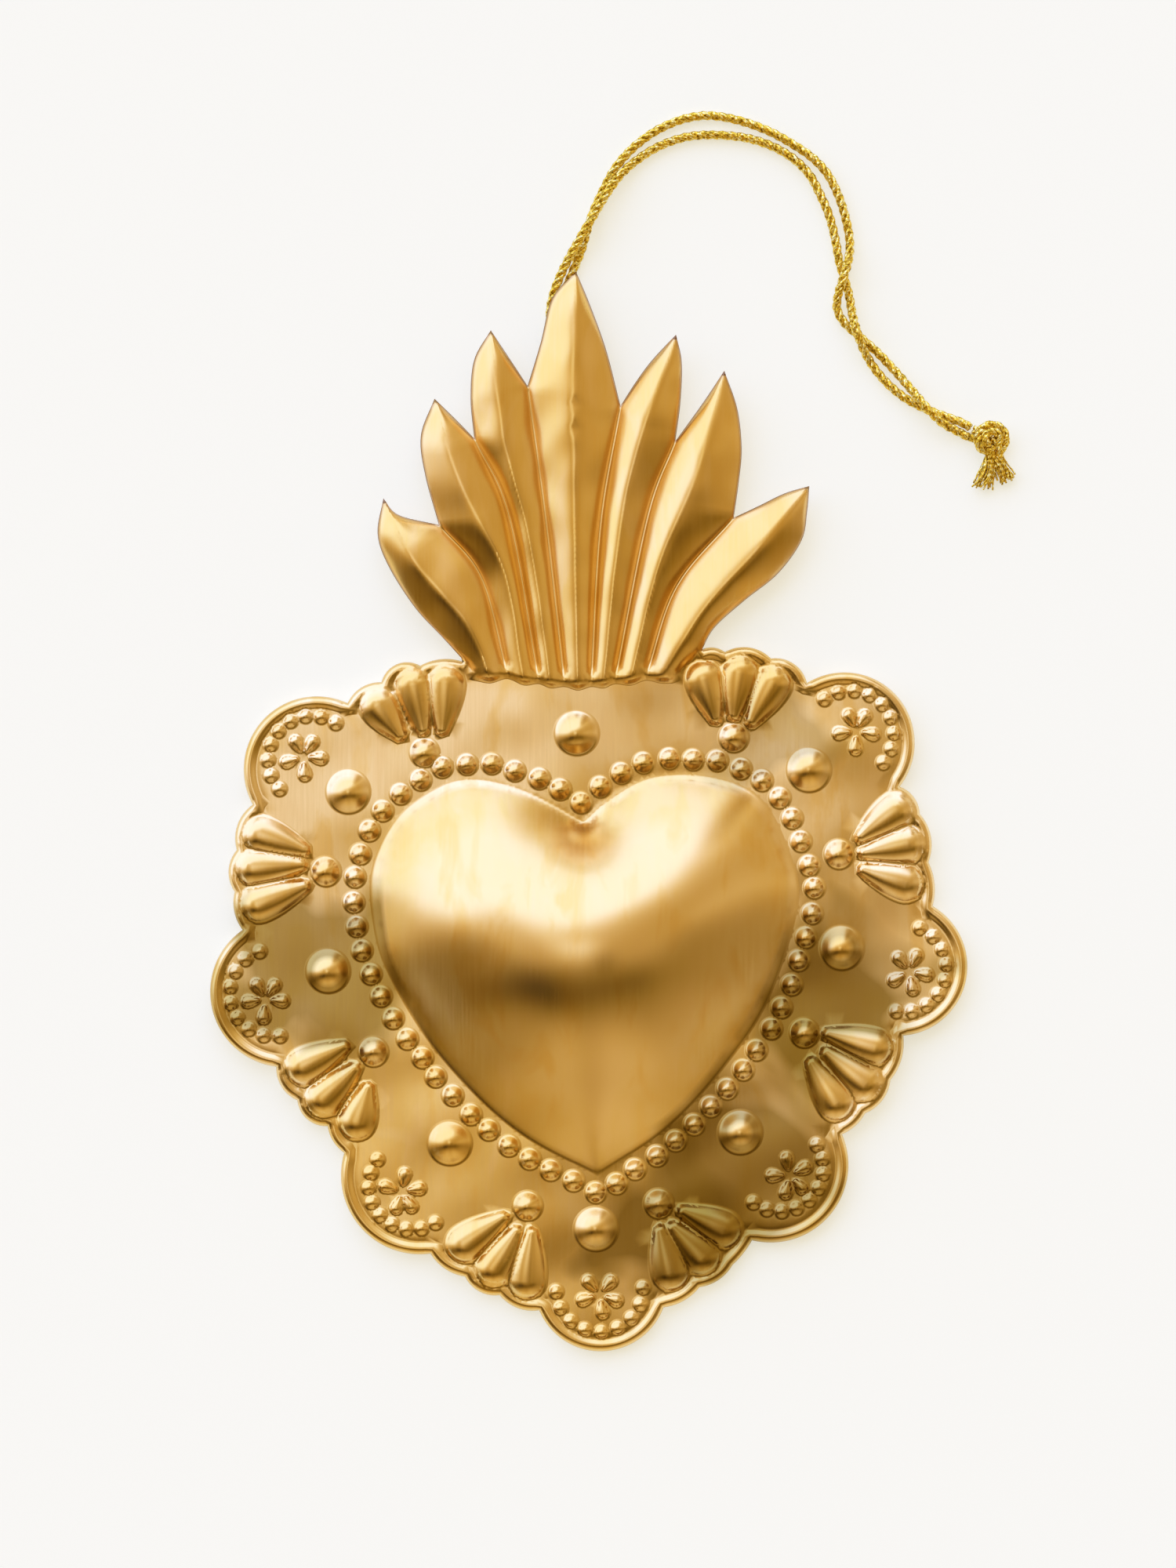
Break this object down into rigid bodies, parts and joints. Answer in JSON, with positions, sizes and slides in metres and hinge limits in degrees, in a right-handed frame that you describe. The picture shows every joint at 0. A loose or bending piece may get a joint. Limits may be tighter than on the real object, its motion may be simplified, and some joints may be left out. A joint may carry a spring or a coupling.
{
  "type": "sacred heart wall ornament",
  "caption": "Pressed brass heart ornament with a scalloped hemmed rim and a ridged flame crown; a soldered wire loop behind the flame carries a doubled gold cord to hang it by.",
  "frame": {"origin": "Middle of the bottom of the brass sheet's box: on the table that the ornament lies on, under the middle of the sheet's length and width, cord left out.", "axes": "+Z away from the table, out of the pressed face; +Y towards the flame's tip; +X to the right seen from the pressed face."},
  "size_m": [0.1116, 0.1723, 0.0156],
  "materials": {
    "brass_sheet": "aged, finely brushed, with darker patina in the hollows",
    "brass_wire": "drawn wire, dulled by heat",
    "solder": "dull grey soft solder",
    "gold_cord": "twisted metallic thread, yellow gold with pale glints"
  },
  "bodies": {
    "ornament": {"pressed_sheet": "brass_sheet", "hanger_loop": "brass_wire", "solder_joint_upper": "solder", "solder_joint_lower": "solder"},
    "cord": {"cord_bight": "gold_cord", "cord_strand_inner": "gold_cord", "cord_strand_outer": "gold_cord", "cord_knot": "gold_cord", "cord_tail_left": "gold_cord", "cord_tail_right": "gold_cord"}
  },
  "joints": [
    {"name": "cord_swing", "type": "hinge", "parent": "ornament", "child": "cord", "pos_m": [-0.0018, 0.0566, 0.0031], "axis": [0, 0, 1], "range_deg": [-25, 85]}
  ]
}
